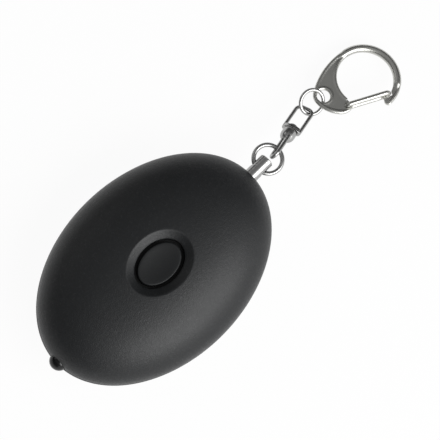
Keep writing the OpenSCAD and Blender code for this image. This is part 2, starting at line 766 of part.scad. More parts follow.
module swivel_yoke() {
    color(chrome) lying(link_p, [yoke_roll, swivel_pitch, swivel_yaw]) {
        difference() {
            union() {
                translate([plate_start, 0, 0]) rotate([0, 90, 0]) scale([plate_d / plate_w, 1, 1])
                    cylinder(d = plate_w, h = 0.45, $fn = 64);
                translate([plate_start, 0, 0]) rotate([0, 90, 0]) scale([(plate_d - 0.5) / (plate_w - 0.4), 1, 1])
                    cylinder(d = plate_w - 0.4, h = plate_t, $fn = 64);
            }
            translate([plate_start - 1, 0, 0]) rotate([0, 90, 0])
                cylinder(d = shank_d + 2 * shank_gap, h = plate_t + 2, $fn = 48);
        }
        for (s = [-1, 1]) {
            translate([plate_start + 0.3, s * yoke_arm, 0]) rotate([0, 90, 0])
                cylinder(d = yoke_wire, h = swivel_l - yoke_bend - plate_start - 0.3, $fn = 32);
            translate([swivel_l - yoke_bend, s * (yoke_arm - yoke_bend), 0])
                bent_wire(yoke_bend, yoke_wire, s > 0 ? 0 : -90, s > 0 ? 90 : 0);
        }
        translate([swivel_l, 0, 0]) rotate([90, 0, 0])
            cylinder(d = yoke_wire, h = 2 * (yoke_arm - yoke_bend), center = true, $fn = 32);
    }
}

module hook_ring() {
    color(chrome) lying(ring_2_p, ring_2_lie)
        rotate_extrude($fn = 96) translate([ring_2_r, 0]) circle(d = ring_2_wire, $fn = 32);
}

// Flat of the hook between its beads
module hook_web() {
    m = bead_d / 2;
    linear_extrude(web_t, center = true) difference() {
        polygon(concat(
            arc(back_c, back_r - m, back_start - 4, back_end, 6),
            arc([0, 0], eye_out - m, back_end, belly_start, 6),
            arc(belly_c, belly_r - m, belly_start, belly_end, 5),
            arc(lobe_c, lobe_out - m, belly_end, lobe_end, 8),
            arc(hook_c, hook_in + m, inner_end + 8, back_start, 12)));
        circle(r = hook_eye_d / 2 + 0.25, $fn = 48);
    }
}

// Thin nose that passes between the gate's legs, with a catch inside the gate's bow
module hook_nose() {
    tip = hook_c + hook_bar * [cos(nose_end), sin(nose_end)];
    linear_extrude(nose_t, center = true) difference() {
        union() {
            polygon(concat(arc(hook_c, hook_out - 0.3, bar_end + 3, nose_end, 10),
                arc(hook_c, hook_in + 0.1, nose_end, bar_end + 3, 10)));
            translate(tip) circle(d = bar_d - 0.1, $fn = 40);
            translate(gate_p) rotate(gate_angle) translate([gate_l - gate_wire - 1.05, -1.7]) {
                square([0.6, 1.4]);
                translate([0.3, 1.4]) circle(d = 0.58, $fn = 24);
            }
        }
        translate(gate_p) rotate(gate_angle) translate([gate_l - gate_wire - 0.12, -gate_wire / 2 - gate_gap])
            square([gate_wire + 0.3, 4]);
    }
}

// Room for the gate's legs over the lobe, at every angle of the gate
module gate_room() {
    w = gate_wire / 2 + gate_gap;
    far = 5;
    low = gate_angle - 1;
    high = gate_angle + gate_open + 1;
    for (s = [-1, 1]) translate([gate_p[0], gate_p[1], s * (web_t / 2 + 1)]) {
        cylinder(r = w + 0.1, h = 2, center = true, $fn = 32);
        linear_extrude(2, center = true)
            polygon([w * [sin(low), -cos(low)], far * [cos(low), sin(low)] + w * [sin(low), -cos(low)],
                     far * [cos(high), sin(high)] + w * [-sin(high), cos(high)], w * [-sin(high), cos(high)]]);
    }
}

module hook_body() {
    m = bead_d / 2;
    thin = bead_d - 0.1;
    sink = 0.05;
    color(nickel) lying(hook_p, hook_lie) difference() {
        union() {
            hook_web();
            bead([0, 0], eye_out - m, 0, 360, thin);
            bead(back_c, back_r - m, back_start - 3, back_end, bead_d);
            bead(belly_c, belly_r - m, belly_start, belly_end, bead_d);
            bead(lobe_c, lobe_out - m, belly_end - 6, lobe_end, thin);
            bead(hook_c, hook_in + m + sink, back_start, inner_end, bead_d);
            bead(hook_c, hook_bar, bar_end, back_start, bar_d);
            taper(hook_c, hook_bar, back_start, 1, bar_d, bead_d, 2.4);
            taper(hook_c, hook_bar, bar_end, -1, bar_d, 0.9, 1.6);
            bead(hook_c, hook_out - m - sink, nose_end, bar_end + 1, bead_d);
            taper(hook_c, hook_out - m - sink, nose_end, -1, bead_d, 0.7, 0.5);
            hook_nose();
        }
        translate([gate_p[0], gate_p[1], 0])
            cylinder(d = gate_wire + 2 * gate_hole_gap, h = 4, center = true, $fn = 40);
        gate_room();
    }
}

module hook_gate() {
    bow_x = gate_l - gate_wire / 2 - gate_z;
    color(nickel) lying(hook_p, hook_lie) translate([gate_p[0], gate_p[1], 0]) rotate(gate_angle) {
        translate([bow_x, 0, 0]) rotate([90, 0, 0]) bent_wire(gate_z, gate_wire, -90, 90);
        for (s = [0, 1]) mirror([0, 0, s]) {
            translate([gate_bend, 0, gate_z]) rotate([0, 90, 0]) cylinder(d = gate_wire, h = bow_x - gate_bend, $fn = 32);
            translate([gate_bend, 0, gate_z - gate_bend]) rotate([90, 0, 0]) bent_wire(gate_bend, gate_wire, 90, 180);
            translate([0, 0, 0.05]) cylinder(d = gate_wire, h = gate_z - gate_bend - 0.05, $fn = 32);
        }
    }
}

front_shell();
rear_shell();
shell_screws();
button_cap();
switch_plunger();
switch_body();
circuit_board();
alarm_chip();
drive_transistor();
storage_capacitor();
chip_resistors();
coil_core();
coil_winding();
piezo_disc();
piezo_ceramic();
buzzer_leads();
cell_holder();
button_cells();
cell_links();
cell_terminals();
led_lens();
led_leads();
trigger_socket();
trigger_contacts();
pin_barrel();
pin_tip();
pin_ring();
swivel_eye();
swivel_yoke();
hook_ring();
hook_body();
hook_gate();
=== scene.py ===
import json
from math import acos, asin, atan, cos, pi, radians, sin, tan

import bmesh
import bpy
from mathutils import Matrix, Vector


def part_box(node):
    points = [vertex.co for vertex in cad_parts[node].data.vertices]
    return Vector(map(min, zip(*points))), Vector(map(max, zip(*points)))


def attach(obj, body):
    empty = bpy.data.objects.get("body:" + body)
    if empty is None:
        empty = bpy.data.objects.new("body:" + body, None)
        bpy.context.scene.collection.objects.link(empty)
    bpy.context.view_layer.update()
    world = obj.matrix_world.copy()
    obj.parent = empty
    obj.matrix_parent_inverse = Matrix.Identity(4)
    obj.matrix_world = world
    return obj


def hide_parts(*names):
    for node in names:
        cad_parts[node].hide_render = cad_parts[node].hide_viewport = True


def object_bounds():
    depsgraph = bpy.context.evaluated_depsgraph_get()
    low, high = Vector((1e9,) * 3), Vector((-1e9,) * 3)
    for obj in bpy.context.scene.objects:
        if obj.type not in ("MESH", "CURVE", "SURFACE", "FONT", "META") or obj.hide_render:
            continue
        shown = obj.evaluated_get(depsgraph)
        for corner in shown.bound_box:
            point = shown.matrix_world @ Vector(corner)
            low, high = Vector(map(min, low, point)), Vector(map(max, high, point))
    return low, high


mm = 0.001

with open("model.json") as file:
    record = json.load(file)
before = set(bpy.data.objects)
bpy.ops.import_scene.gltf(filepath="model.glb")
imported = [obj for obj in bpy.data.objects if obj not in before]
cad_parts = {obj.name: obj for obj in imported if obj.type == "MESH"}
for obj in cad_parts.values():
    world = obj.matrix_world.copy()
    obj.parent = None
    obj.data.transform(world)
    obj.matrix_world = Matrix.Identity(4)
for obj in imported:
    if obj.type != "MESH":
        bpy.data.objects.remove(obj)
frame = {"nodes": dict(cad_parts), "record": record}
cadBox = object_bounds()
nodes = frame["nodes"]
print("stage: frame loaded,", len(nodes), "CAD pieces")

# Camera, at the photograph's angle
camera = {
    "target": (19.398, -2.487, 10.0),  # mm, the point at the middle of the picture
    "distance": 800.0,                 # mm
    "tilt": 10.4,                      # degrees from straight down, towards the lamp end
    "roll": 44.06,                     # degrees, the housing's long axis in the picture
    "pixelsPerMm": 4.213,              # at the target
    "imageSize": 440,
    "sensor": 36.0,
}

# Lamps: place and target in mm, size in mm, strength in watts
lamps = {
    "mainSoft": {"place": (34, -480, 490), "aim": (5, 0, 8), "size": (700, 460), "watts": 5.7},
    "farRim": {"place": (-40, 480, 330), "aim": (0, 0, 10), "size": (420, 160), "watts": 0.22},
}

surround = {"ambient": 0.12, "background": 1.0, "floorColour": 0.93, "floorGlow": 0.95, "floorGap": 0.03}

# Dark studio flags over and behind the table: place and size in mm, turn in degrees
flags = {
    "flagOver": {"place": (0, 0, 1050), "size": (3600, 3600), "turn": (0, 0, 0), "glow": 0.29},
    "flagBehind": {"place": (0, 900, 530), "size": (2200, 1000), "turn": (90, 0, 0), "glow": 0.06},
    "flagLampEnd": {"place": (-900, 150, 530), "size": (1500, 1000), "turn": (90, 0, 90), "glow": 0.16},
    "flagPinEnd": {"place": (950, 150, 530), "size": (1500, 1000), "turn": (90, 0, 90), "glow": 0.08},
}


def makeCamera(spec):
    t = radians(spec["tilt"])
    forward = Vector((sin(t), 0, -cos(t)))
    across = Vector((cos(t), 0, sin(t)))
    side = Vector((0, 1, 0))
    r = radians(spec["roll"])
    right = across * cos(r) - side * sin(r)
    up = across * sin(r) + side * cos(r)
    place = Vector(spec["target"]) * mm - forward * spec["distance"] * mm
    data = bpy.data.cameras.new("photoCamera")
    data.sensor_width = spec["sensor"]
    data.lens = spec["pixelsPerMm"] * spec["distance"] / spec["imageSize"] * spec["sensor"]
    data.clip_start = 0.05
    data.clip_end = 20.0
    obj = bpy.data.objects.new("photoCamera", data)
    bpy.context.scene.collection.objects.link(obj)
    turn = Matrix((right, up, -forward)).transposed()
    obj.matrix_world = Matrix.Translation(place) @ turn.to_4x4()
    bpy.context.scene.camera = obj


def makeLamp(name, spec):
    data = bpy.data.lights.new(name, "AREA")
    data.shape = "RECTANGLE"
    data.size = spec["size"][0] * mm
    data.size_y = spec["size"][1] * mm
    data.energy = spec["watts"]
    obj = bpy.data.objects.new(name, data)
    bpy.context.scene.collection.objects.link(obj)
    place = Vector(spec["place"]) * mm
    aim = Vector(spec["aim"]) * mm
    obj.location = place
    obj.rotation_euler = (aim - place).to_track_quat("-Z", "Y").to_euler()


def seenDirectly(tree):
    # 1 for rays that should find the plain background: camera, glossy and transmission rays
    path = tree.nodes.new("ShaderNodeLightPath")
    first = tree.nodes.new("ShaderNodeMath")
    first.operation = "MAXIMUM"
    tree.links.new(path.outputs["Is Camera Ray"], first.inputs[0])
    tree.links.new(path.outputs["Is Glossy Ray"], first.inputs[1])
    second = tree.nodes.new("ShaderNodeMath")
    second.operation = "MAXIMUM"
    tree.links.new(first.outputs[0], second.inputs[0])
    tree.links.new(path.outputs["Is Transmission Ray"], second.inputs[1])
    return second.outputs[0]


def makeSurround(spec):
    world = bpy.data.worlds.new("studio")
    bpy.context.scene.world = world
    world.use_nodes = True
    tree = world.node_tree
    back = tree.nodes["Background"]
    back.inputs["Color"].default_value = (1, 1, 1, 1)
    level = tree.nodes.new("ShaderNodeMapRange")
    level.inputs["To Min"].default_value = spec["ambient"]
    level.inputs["To Max"].default_value = spec["background"]
    tree.links.new(seenDirectly(tree), level.inputs["Value"])
    tree.links.new(level.outputs["Result"], back.inputs["Strength"])


def makeFloor(spec):
    bpy.ops.mesh.primitive_plane_add(size=6.0, location=(0, 0, cadBox[0][2] - spec["floorGap"] * mm))
    floor = bpy.context.active_object
    floor.name = "floor"
    paint = bpy.data.materials.new("paleFloor")
    paint.use_nodes = True
    tree = paint.node_tree
    shader = tree.nodes["Principled BSDF"]
    c = spec["floorColour"]
    shader.inputs["Base Color"].default_value = (c, c, c, 1)
    shader.inputs["Roughness"].default_value = 0.9
    shader.inputs["Specular IOR Level"].default_value = 0.1
    glow = tree.nodes.new("ShaderNodeEmission")
    glow.inputs["Color"].default_value = (1, 1, 1, 1)
    share = tree.nodes.new("ShaderNodeMath")
    share.operation = "MULTIPLY"
    share.inputs[1].default_value = spec["floorGlow"]
    tree.links.new(seenDirectly(tree), share.inputs[0])
    mix = tree.nodes.new("ShaderNodeMixShader")
    tree.links.new(share.outputs[0], mix.inputs["Fac"])
    tree.links.new(shader.outputs[0], mix.inputs[1])
    tree.links.new(glow.outputs[0], mix.inputs[2])
    tree.links.new(mix.outputs[0], tree.nodes["Material Output"].inputs["Surface"])
    floor.data.materials.append(paint)


def makeFlag(name, spec):
    bpy.ops.mesh.primitive_plane_add(size=1.0, location=[c * mm for c in spec["place"]])
    card = bpy.context.active_object
    card.name = name
    card.scale = (spec["size"][0] * mm, spec["size"][1] * mm, 1)
    card.rotation_euler = [radians(t) for t in spec["turn"]]
    paint = bpy.data.materials.new(name)
    paint.use_nodes = True
    tree = paint.node_tree
    tree.nodes.remove(tree.nodes["Principled BSDF"])
    glow = tree.nodes.new("ShaderNodeEmission")
    glow.inputs["Strength"].default_value = spec["glow"]
    tree.links.new(glow.outputs[0], tree.nodes["Material Output"].inputs["Surface"])
    card.data.materials.append(paint)
    card.visible_camera = False
    card.visible_diffuse = False
    card.visible_shadow = False


makeCamera(camera)
for lampName, lampSpec in lamps.items():
    makeLamp(lampName, lampSpec)
makeSurround(surround)
makeFloor(surround)
for flagName, flagSpec in flags.items():
    makeFlag(flagName, flagSpec)
bpy.context.scene.view_settings.view_transform = "Standard"
print("stage: camera, lamps and floor")


def addSocket(group, name, kind, way, value=None):
    sock = group.interface.new_socket(name=name, in_out=way, socket_type=kind)
    if value is not None:
        sock.default_value = value


def newNode(tree, kind, **settings):
    node = tree.nodes.new(kind)
    for key, value in settings.items():
        setattr(node, key, value)
    return node


def mathNode(tree, operation, a, b=None, clamp=False):
    node = newNode(tree, "ShaderNodeMath", operation=operation, use_clamp=clamp)
    for socket, value in zip(node.inputs, (a, b)):
        if isinstance(value, (int, float)):
            socket.default_value = value
        elif value is not None:
            tree.links.new(value, socket)
    return node.outputs[0]


def mixColour(tree, factor, a, b):
    node = newNode(tree, "ShaderNodeMix", data_type="RGBA")
    for socket, value in ((node.inputs[0], factor), (node.inputs[6], a), (node.inputs[7], b)):
        if hasattr(value, "is_output"):
            tree.links.new(value, socket)
        else:
            socket.default_value = value
    return node.outputs[2]


def noiseOn(tree, vector, scale, detail=3.0, roughness=0.5):
    node = newNode(tree, "ShaderNodeTexNoise")
    node.inputs["Detail"].default_value = detail
    node.inputs["Roughness"].default_value = roughness
    tree.links.new(vector, node.inputs["Vector"])
    if isinstance(scale, (int, float)):
        node.inputs["Scale"].default_value = scale
    else:
        tree.links.new(scale, node.inputs["Scale"])
    return node.outputs["Fac"]


def makeMouldedGroup():
    # Moulded plastic: a fine spark-eroded grain, pale flecks on its peaks and faint wide clouding
    group = bpy.data.node_groups.new("mouldedSkin", "ShaderNodeTree")
    addSocket(group, "Colour", "NodeSocketColor", "INPUT", (0.02, 0.02, 0.02, 1))
    addSocket(group, "Fleck Colour", "NodeSocketColor", "INPUT", (0.1, 0.1, 0.1, 1))
    addSocket(group, "Grain Scale", "NodeSocketFloat", "INPUT", 3000.0)
    addSocket(group, "Fleck Amount", "NodeSocketFloat", "INPUT", 0.5)
    addSocket(group, "Roughness", "NodeSocketFloat", "INPUT", 0.6)
    addSocket(group, "Glint", "NodeSocketFloat", "INPUT", 0.1)
    addSocket(group, "Colour", "NodeSocketColor", "OUTPUT")
    addSocket(group, "Roughness", "NodeSocketFloat", "OUTPUT")
    addSocket(group, "Height", "NodeSocketFloat", "OUTPUT")
    given = group.nodes.new("NodeGroupInput")
    made = group.nodes.new("NodeGroupOutput")
    place = group.nodes.new("ShaderNodeTexCoord").outputs["Object"]
    grain = noiseOn(group, place, given.outputs["Grain Scale"], 4.0, 0.65)
    coarse = noiseOn(group, place, mathNode(group, "MULTIPLY", given.outputs["Grain Scale"], 0.37), 2.0)
    cloud = noiseOn(group, place, 90.0, 3.0)
    finePart = mathNode(group, "MULTIPLY", grain, 0.65)
    coarsePart = mathNode(group, "MULTIPLY", coarse, 0.35)
    height = mathNode(group, "ADD", finePart, coarsePart)
    peaks = newNode(group, "ShaderNodeMapRange", interpolation_type="SMOOTHSTEP")
    peaks.inputs["From Min"].default_value = 0.5
    peaks.inputs["From Max"].default_value = 0.72
    group.links.new(height, peaks.inputs["Value"])
    flecks = mathNode(group, "MULTIPLY", peaks.outputs["Result"], given.outputs["Fleck Amount"])
    darker = mixColour(group, 0.12, given.outputs["Colour"], (0, 0, 0, 1))
    base = mixColour(group, cloud, darker, given.outputs["Colour"])
    group.links.new(mixColour(group, flecks, base, given.outputs["Fleck Colour"]), made.inputs["Colour"])
    spread = mathNode(group, "MULTIPLY", mathNode(group, "SUBTRACT", cloud, 0.5), 0.12)
    glint = mathNode(group, "MULTIPLY", peaks.outputs["Result"], given.outputs["Glint"])
    clouded = mathNode(group, "ADD", given.outputs["Roughness"], spread)
    rough = mathNode(group, "SUBTRACT", clouded, glint, True)
    group.links.new(rough, made.inputs["Roughness"])
    group.links.new(height, made.inputs["Height"])
    return group


def makePlatedGroup():
    # Plated metal: faint handling smears, fine rub marks and a slightly uneven surface
    group = bpy.data.node_groups.new("platedSkin", "ShaderNodeTree")
    addSocket(group, "Colour", "NodeSocketColor", "INPUT", (0.7, 0.7, 0.7, 1))
    addSocket(group, "Worn Colour", "NodeSocketColor", "INPUT", (0.5, 0.5, 0.5, 1))
    addSocket(group, "Roughness", "NodeSocketFloat", "INPUT", 0.15)
    addSocket(group, "Smear", "NodeSocketFloat", "INPUT", 0.1)
    addSocket(group, "Pit Scale", "NodeSocketFloat", "INPUT", 1500.0)
    addSocket(group, "Colour", "NodeSocketColor", "OUTPUT")
    addSocket(group, "Roughness", "NodeSocketFloat", "OUTPUT")
    addSocket(group, "Height", "NodeSocketFloat", "OUTPUT")
    given = group.nodes.new("NodeGroupInput")
    made = group.nodes.new("NodeGroupOutput")
    place = group.nodes.new("ShaderNodeTexCoord").outputs["Object"]
    smear = noiseOn(group, place, 260.0, 4.0, 0.6)
    pits = noiseOn(group, place, given.outputs["Pit Scale"], 3.0, 0.6)
    tint = mixColour(group, smear, given.outputs["Colour"], given.outputs["Worn Colour"])
    group.links.new(tint, made.inputs["Colour"])
    rough = mathNode(group, "MULTIPLY", smear, given.outputs["Smear"])
    group.links.new(mathNode(group, "ADD", given.outputs["Roughness"], rough, True), made.inputs["Roughness"])
    group.links.new(pits, made.inputs["Height"])
    return group


def startMaterial(name):
    material = bpy.data.materials.new(name)
    material.use_nodes = True
    return material, material.node_tree, material.node_tree.nodes["Principled BSDF"]


def addBump(tree, height, shader, strength, distance):
    bump = newNode(tree, "ShaderNodeBump")
    bump.inputs["Strength"].default_value = strength
    bump.inputs["Distance"].default_value = distance
    tree.links.new(height, bump.inputs["Height"])
    tree.links.new(bump.outputs["Normal"], shader.inputs["Normal"])


def mouldedPlastic(name, spec):
    material, tree, shader = startMaterial(name)
    skin = newNode(tree, "ShaderNodeGroup", node_tree=mouldedGroup)
    skin.inputs["Colour"].default_value = (*spec["colour"], 1)
    skin.inputs["Fleck Colour"].default_value = (*spec["fleck"], 1)
    skin.inputs["Grain Scale"].default_value = spec["grain"]
    skin.inputs["Fleck Amount"].default_value = spec["flecks"]
    skin.inputs["Roughness"].default_value = spec["rough"]
    skin.inputs["Glint"].default_value = spec.get("glint", 0.1)
    tree.links.new(skin.outputs["Colour"], shader.inputs["Base Color"])
    tree.links.new(skin.outputs["Roughness"], shader.inputs["Roughness"])
    shader.inputs["Specular IOR Level"].default_value = spec.get("specular", 0.5)
    shader.inputs["Coat Weight"].default_value = spec.get("coat", 0.0)
    shader.inputs["Coat Roughness"].default_value = coatRoughness
    addBump(tree, skin.outputs["Height"], shader, spec["bump"], spec.get("depth", 0.04) * mm)
    return material


def platedMetal(name, spec):
    material, tree, shader = startMaterial(name)
    skin = newNode(tree, "ShaderNodeGroup", node_tree=platedGroup)
    skin.inputs["Colour"].default_value = (*spec["colour"], 1)
    skin.inputs["Worn Colour"].default_value = (*spec["worn"], 1)
    skin.inputs["Roughness"].default_value = spec["rough"]
    skin.inputs["Smear"].default_value = spec["smear"]
    skin.inputs["Pit Scale"].default_value = spec["pits"]
    tree.links.new(skin.outputs["Colour"], shader.inputs["Base Color"])
    tree.links.new(skin.outputs["Roughness"], shader.inputs["Roughness"])
    shader.inputs["Metallic"].default_value = 1.0
    addBump(tree, skin.outputs["Height"], shader, spec["bump"], 0.02 * mm)
    return material


def smokedLens(name, spec):
    material, tree, shader = startMaterial(name)
    skin = newNode(tree, "ShaderNodeGroup", node_tree=platedGroup)
    skin.inputs["Colour"].default_value = (*spec["colour"], 1)
    skin.inputs["Worn Colour"].default_value = (*spec["deep"], 1)
    skin.inputs["Roughness"].default_value = spec["rough"]
    skin.inputs["Smear"].default_value = 0.03
    tree.links.new(skin.outputs["Colour"], shader.inputs["Base Color"])
    tree.links.new(skin.outputs["Roughness"], shader.inputs["Roughness"])
    shader.inputs["Specular IOR Level"].default_value = 0.3
    shader.inputs["Coat Weight"].default_value = 0.12
    shader.inputs["Coat Roughness"].default_value = 0.06
    return material


plastics = {
    "shell_plastic": {"colour": (0.0095, 0.0105, 0.0115), "fleck": (0.06, 0.063, 0.066), "grain": 3500.0,
                      "flecks": 0.25, "rough": 0.48, "bump": 1.0, "depth": 0.1, "specular": 0.36,
                      "coat": 0.07},
    "button_plastic": {"colour": (0.007, 0.0078, 0.0085), "fleck": (0.05, 0.053, 0.056), "grain": 4200.0,
                       "flecks": 0.15, "rough": 0.5, "bump": 0.4, "specular": 0.3},
    "inner_plastic": {"colour": (0.012, 0.012, 0.012), "fleck": (0.04, 0.04, 0.04), "grain": 5000.0,
                      "flecks": 0.3, "rough": 0.55, "bump": 0.3},
    "pale_plastic": {"colour": (0.72, 0.71, 0.66), "fleck": (0.8, 0.8, 0.76), "grain": 4000.0,
                     "flecks": 0.3, "rough": 0.45, "bump": 0.2},
    "board_green": {"colour": (0.012, 0.1, 0.045), "fleck": (0.03, 0.16, 0.08), "grain": 1800.0,
                    "flecks": 0.5, "rough": 0.32, "bump": 0.2},
    "lead_red": {"colour": (0.36, 0.02, 0.015), "fleck": (0.5, 0.05, 0.04), "grain": 5000.0,
                 "flecks": 0.2, "rough": 0.4, "bump": 0.1},
}

metals = {
    "pin_chrome": {"colour": (0.44, 0.44, 0.435), "worn": (0.35, 0.35, 0.345), "rough": 0.25,
                   "smear": 0.08, "pits": 1400.0, "bump": 0.05},
    "hook_nickel": {"colour": (0.6, 0.6, 0.57), "worn": (0.46, 0.46, 0.435), "rough": 0.27,
                    "smear": 0.12, "pits": 1500.0, "bump": 0.1},
    "nickel_steel": {"colour": (0.62, 0.62, 0.6), "worn": (0.5, 0.5, 0.48), "rough": 0.2,
                     "smear": 0.2, "pits": 1800.0, "bump": 0.15},
    "can_aluminium": {"colour": (0.72, 0.73, 0.74), "worn": (0.6, 0.6, 0.61), "rough": 0.3,
                      "smear": 0.15, "pits": 2500.0, "bump": 0.15},
    "copper_wire": {"colour": (0.62, 0.24, 0.1), "worn": (0.42, 0.14, 0.06), "rough": 0.25,
                    "smear": 0.2, "pits": 3500.0, "bump": 0.5},
    "sounder_brass": {"colour": (0.66, 0.48, 0.2), "worn": (0.5, 0.35, 0.14), "rough": 0.26,
                      "smear": 0.2, "pits": 1600.0, "bump": 0.2},
}

coatRoughness = 0.3

lens = {"colour": (0.006, 0.006, 0.007), "deep": (0.002, 0.002, 0.002), "rough": 0.2}

mouldedGroup = makeMouldedGroup()
platedGroup = makePlatedGroup()
finishes = {name: mouldedPlastic(name, spec) for name, spec in plastics.items()}
finishes.update({name: platedMetal(name, spec) for name, spec in metals.items()})
finishes["smoked_lens"] = smokedLens("smoked_lens", lens)
print("stage:", len(finishes), "finishes")


# Housing shells, in mm. The oval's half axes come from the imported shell
shellLow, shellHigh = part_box("front_shell")
housing = {
    "halfLength": shellHigh[0] / mm,
    "halfWidth": shellHigh[1] / mm,
    "wall": 1.8,
    "seam": 10.0,
    "frontHeight": 12.0,
    "frontSquare": 2.3,    # superellipse power of the front's section
    "rearHeight": 10.35,   # before the rest flat is cut at z = 0
    "rearSquare": 2.8,
    "seamBreak": 0.25,
    "frontInset": 0.06,    # the rear half stands this far proud along the seam
    "lipDepth": 1.3,
    "lipWidth": 0.9,
    "sides": 144,
    "steps": 22,
    "crownShare": 0.56,    # where the dome's rings give way to the rings round the recess
    "mergeWithin": 0.0002,
}

# Recessed ring round the button, in mm
well = {
    "halfLength": 6.83,
    "halfWidth": 4.93,
    "low": 20.45,          # height of the slope's inner edge
    "slopeWidth": 1.97,
    "slopeDrop": 1.25,
    "edgeRound": 0.8,
    "under": 18.4,         # underside of the pad round the button
    "padGrow": 3.65,
    "crownRings": (6.6, 5.4, 4.4, 3.6, 3.1),  # outside the opening, laid on the dome
    "slopeRings": (1.2, 0.6, 0.16),
    "edgeSteps": 6,
    "edgeLead": 6.0,       # degrees that the rounded edge starts before level
}

bores = {"pinRadius": 1.95, "pinFrom": 29.2, "pinTo": 36.0,
         "lampRadius": 2.45, "lampFrom": -36.0, "lampTo": -26.4}

screwHoles = {"x": 20.0, "y": 10.8, "radius": 1.15, "headRadius": 2.05, "headDepth": 3.6,
              "postRadius": 2.6, "postFrom": 3.15}

soundSlots = {"count": 6, "width": 1.3, "pitch": 2.8, "halfLength": 9.5, "halfWidth": 6.4, "depth": 6.0}


def deselectAll():
    if bpy.context.mode != "OBJECT":
        bpy.ops.object.mode_set(mode="OBJECT")
    bpy.ops.object.select_all(action="DESELECT")


def startOval(name, a, b, z, sides):
    # First ring of a loft, left in edit mode with its edges selected; a and b in mm
    deselectAll()
    bpy.ops.mesh.primitive_circle_add(vertices=sides, radius=1.0, location=(0, 0, 0))
    piece = bpy.context.active_object
    piece.name = name
    bpy.ops.object.mode_set(mode="EDIT")
    bpy.ops.mesh.select_all(action="SELECT")
    bpy.ops.transform.resize(value=(a * mm, b * mm, 1), center_override=(0, 0, 0))
    bpy.ops.transform.translate(value=(0, 0, z * mm))
    return piece


def growOval(last, ring):
    # Extrudes the selected ring from (a, b, z) to the next (a, b, z), in mm
    bpy.ops.mesh.extrude_region()
    bpy.ops.transform.resize(value=(ring[0] / last[0], ring[1] / last[1], 1), center_override=(0, 0, 0))
    bpy.ops.transform.translate(value=(0, 0, (ring[2] - last[2]) * mm))
    return ring


def growOvals(first, rings):
    last = first
    for ring in rings:
        last = growOval(last, ring)


def domeRings(height, square, towards, start, steps, lastShare, inset=0.0):
    # Rings of a superellipse dome from the seam, towards = 1 up or -1 down
    first = asin((start / height) ** (square / 2))
    end = acos(lastShare ** (square / 2))
    rings = []
    for i in range(steps + 1):
        t = first + (end - first) * i / steps
        share = cos(t) ** (2 / square)
        rings.append(((housing["halfLength"] - inset) * share, (housing["halfWidth"] - inset) * share,
                      housing["seam"] + towards * height * sin(t) ** (2 / square)))
    return rings


def selectRims():
    bpy.ops.mesh.select_all(action="DESELECT")
    bpy.ops.mesh.select_mode(type="EDGE")
    bpy.ops.mesh.select_non_manifold(extend=False)


def closeMesh():
    bpy.ops.mesh.select_all(action="SELECT")
    bpy.ops.mesh.remove_doubles(threshold=housing["mergeWithin"] * mm)
    bpy.ops.mesh.normals_make_consistent(inside=False)
    bpy.ops.object.mode_set(mode="OBJECT")


def cutWith(piece, cutter, operation="DIFFERENCE"):
    change = piece.modifiers.new("cut", "BOOLEAN")
    change.operation = operation
    change.solver = "EXACT"
    change.object = cutter
    bpy.context.view_layer.objects.active = piece
    bpy.ops.object.modifier_apply(modifier=change.name)
    bpy.data.objects.remove(cutter)


def addRod(radius, low, high, centre=(0, 0), axis="Z", sides=64):
    # Round cutter or boss in mm, along X or Z from low to high
    place = (centre[0], centre[1], (low + high) / 2)
    turn = (0, 0, 0)
    if axis == "X":
        place = ((low + high) / 2, centre[0], centre[1])
        turn = (0, pi / 2, 0)
    deselectAll()
    bpy.ops.mesh.primitive_cylinder_add(vertices=sides, radius=radius * mm, depth=(high - low) * mm,
                                        location=[c * mm for c in place], rotation=turn)
    rod = bpy.context.active_object
    bpy.ops.object.transform_apply(location=True, rotation=True, scale=True)
    return rod


def smoothPiece(piece, angle=30.0):
    deselectAll()
    piece.select_set(True)
    bpy.context.view_layer.objects.active = piece
    bpy.ops.object.shade_smooth_by_angle(angle=radians(angle))


def dress(piece, slotName, body, *replaced):
    piece.data.materials.clear()
    piece.data.materials.append(finishes[slotName])
    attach(piece, body)
    if replaced:
        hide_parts(*replaced)


def boreEnds(piece):
    cutWith(piece, addRod(bores["pinRadius"], bores["pinFrom"], bores["pinTo"], (0, housing["seam"]), "X"))
    cutWith(piece, addRod(bores["lampRadius"], bores["lampFrom"], bores["lampTo"], (0, housing["seam"]), "X"))


def crownHeight(x, y):
    # Height in mm of the front dome over a point
    s = housing["frontSquare"]
    inset = housing["frontInset"]
    share = ((x / (housing["halfLength"] - inset)) ** 2 + (y / (housing["halfWidth"] - inset)) ** 2) ** 0.5
    return housing["seam"] + housing["frontHeight"] * (1 - share ** s) ** (1 / s)


def layOnCrown(piece, firstRing, crownCount, fadeCount):
    # Sets the rings between the dome and the slope's rounded edge onto the dome, then fades the step out
    sides = housing["sides"]
    mesh = bmesh.from_edit_mesh(piece.data)
    mesh.verts.ensure_lookup_table()
    edge = well["low"] + well["slopeDrop"]
    for i in range(crownCount + fadeCount):
        for vert in mesh.verts[(firstRing + i) * sides:(firstRing + i + 1) * sides]:
            x, y = vert.co.x / mm, vert.co.y / mm
            if i < crownCount:
                vert.co.z = crownHeight(x, y) * mm
            else:
                fade = 1 - (i - crownCount) / fadeCount
                vert.co.z += fade * (cornerHeight(x, y) - edge) * mm
    bmesh.update_edit_mesh(piece.data)


def cornerHeight(x, y):
    # Height of the dome where the slope's outer edge meets it, on the same bearing
    a, b = well["halfLength"] + well["slopeWidth"], well["halfWidth"] + well["slopeWidth"]
    reach = ((x / a) ** 2 + (y / b) ** 2) ** 0.5
    return crownHeight(x / reach, y / reach)


